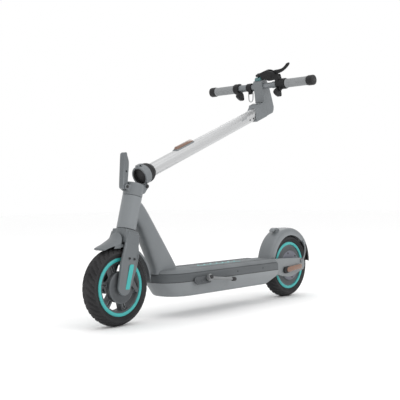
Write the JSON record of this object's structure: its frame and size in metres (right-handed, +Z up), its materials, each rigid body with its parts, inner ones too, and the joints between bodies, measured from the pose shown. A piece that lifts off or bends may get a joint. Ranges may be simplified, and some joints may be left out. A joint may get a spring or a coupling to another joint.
{
  "type": "electric kick scooter",
  "caption": "Folding electric kick scooter, stem half folded, with a spoked drum-brake front wheel and a rear hub motor.",
  "frame": {"origin": "bottom centre of the bounding box: on the ground, midway along the scooter and between its sides", "axes": "+X forward, +Y the rider's left, +Z up"},
  "size_m": [1.1862, 0.498, 0.9066],
  "materials": {
    "frame_grey": "satin mid-grey powder coat over aluminium",
    "deck_grey": "dark grey moulded rubber and trim",
    "cover_grey": "satin light-grey paint over aluminium",
    "silver_stem": "brushed silver anodised",
    "steel": "plated steel",
    "black_plastic": "fine-grained black plastic",
    "turquoise": "satin turquoise",
    "tyre_rubber": "matt black tyre rubber",
    "grip_rubber": "soft grey rubber",
    "amber": "amber prism reflector",
    "clear_lens": "clear lens",
    "red_lens": "red lens",
    "cell_wrap": "shrink wrap",
    "teal_cover": "translucent teal-grey cover",
    "motor_casing": "satin light-grey paint over the motor's castings and magnets",
    "alloy": "cast aluminium"
  },
  "bodies": {
    "chassis": {"head_tube": "frame_grey", "down_tube": "frame_grey", "deck_tray": "frame_grey", "deck_top_plate": "deck_grey", "deck_mat": "deck_grey", "battery_pack": "cell_wrap", "motor_controller": "alloy", "rear_arm_left": "cover_grey", "rear_arm_right": "cover_grey", "rear_reflector_left": "amber", "rear_reflector_right": "amber", "rear_axle": "steel", "rear_fender": "frame_grey", "fender_stay_left": "frame_grey", "fender_stay_right": "frame_grey", "mudflap": "black_plastic", "tail_light": "red_lens", "kickstand_bracket": "black_plastic"},
    "kickstand": {"kickstand_leg": "steel"},
    "rear_wheel": {"rear_hub_motor": "motor_casing", "rear_wheel_ring": "turquoise", "rear_tyre": "tyre_rubber"},
    "steering": {"fork": "frame_grey", "fork_cover_left": "frame_grey", "fork_cover_right": "frame_grey", "steerer_tube": "steel", "headset_bearing_lower": "steel", "headset_bearing_upper": "steel", "fold_base": "frame_grey", "hinge_pin": "steel", "front_mudguard": "frame_grey", "front_axle": "steel", "brake_plate": "alloy"},
    "front_wheel": {"front_wheel_rim": "alloy", "front_wheel_ring": "turquoise", "front_tyre": "tyre_rubber"},
    "brake_cam": {"brake_arm": "steel"},
    "lock": {"lock_lever": "frame_grey"},
    "stem": {"fold_collar": "frame_grey", "collar_seal": "black_plastic", "stem_tube": "silver_stem", "stem_reflector": "amber", "stem_head": "frame_grey", "headlight_lens": "clear_lens", "display": "black_plastic", "front_housing": "teal_cover", "handlebar": "steel", "grip_left": "grip_rubber", "grip_right": "grip_rubber", "bar_end_left": "black_plastic", "bar_end_right": "black_plastic", "thumb_ring_left": "black_plastic", "thumb_ring_right": "black_plastic", "brake_bracket": "black_plastic", "hook_clamp": "black_plastic"},
    "power": {"power_button": "black_plastic"},
    "brake": {"brake_lever": "black_plastic"},
    "lights": {"lights_lever": "black_plastic"},
    "throttle": {"throttle_lever": "black_plastic"},
    "bail": {"hook_bail": "steel"}
  },
  "joints": [
    {"name": "steer", "type": "hinge", "parent": "chassis", "child": "steering", "pos_m": [0.46817, 0, 0.125], "axis": [-0.2706, 0, 0.9627], "range_deg": [-50, 50]},
    {"name": "stem_fold", "type": "hinge", "parent": "steering", "child": "stem", "pos_m": [0.34343, 0, 0.44311], "axis": [0, 1, 0], "range_deg": [-34, 52.9]},
    {"name": "lock_swing", "type": "hinge", "parent": "steering", "child": "lock", "pos_m": [0.42351, 0, 0.44277], "axis": [0, 1, 0], "range_deg": [-8, 100]},
    {"name": "front_wheel_spin", "type": "hinge", "parent": "steering", "child": "front_wheel", "pos_m": [0.46817, 0, 0.125], "axis": [0, 1, 0], "continuous": true},
    {"name": "rear_wheel_spin", "type": "hinge", "parent": "chassis", "child": "rear_wheel", "pos_m": [-0.45183, 0, 0.125], "axis": [0, 1, 0], "continuous": true},
    {"name": "kickstand_swing", "type": "hinge", "parent": "chassis", "child": "kickstand", "pos_m": [0.12117, 0.082, 0.123], "axis": [0, -0.9272, -0.3746], "range_deg": [0, 90]},
    {"name": "brake_squeeze", "type": "hinge", "parent": "stem", "child": "brake", "pos_m": [-0.29887, 0.066, 0.86238], "axis": [-0.9311, 0, 0.3649], "range_deg": [0, 12], "stiffness_Nm_per_rad": 0.6, "springref_deg": -5.73},
    {"name": "brake_cam_turn", "type": "hinge", "parent": "steering", "child": "brake_cam", "pos_m": [0.42563, 0.034, 0.1359], "axis": [0, 1, 0], "range_deg": [0, 15]},
    {"name": "throttle_press", "type": "hinge", "parent": "stem", "child": "throttle", "pos_m": [-0.30408, -0.091, 0.81072], "axis": [0, -1, 0], "range_deg": [0, 22], "stiffness_Nm_per_rad": 0.15, "springref_deg": -5.73},
    {"name": "lights_press", "type": "hinge", "parent": "stem", "child": "lights", "pos_m": [-0.30408, 0.091, 0.81072], "axis": [0, -1, 0], "range_deg": [0, 22], "stiffness_Nm_per_rad": 0.15, "springref_deg": -5.73},
    {"name": "bail_swing", "type": "hinge", "parent": "stem", "child": "bail", "pos_m": [-0.31392, -0.049, 0.81028], "axis": [0, 1, 0], "range_deg": [-60, 60]},
    {"name": "power_press", "type": "slide", "parent": "stem", "child": "power", "axis": [0.9311, 0, -0.3649], "range_m": [0, 0.0008], "stiffness_N_per_m": 300}
  ],
  "couplings": [
    {"joint": "brake_cam_turn", "follows": "brake_squeeze", "ratio": 1.2}
  ]
}
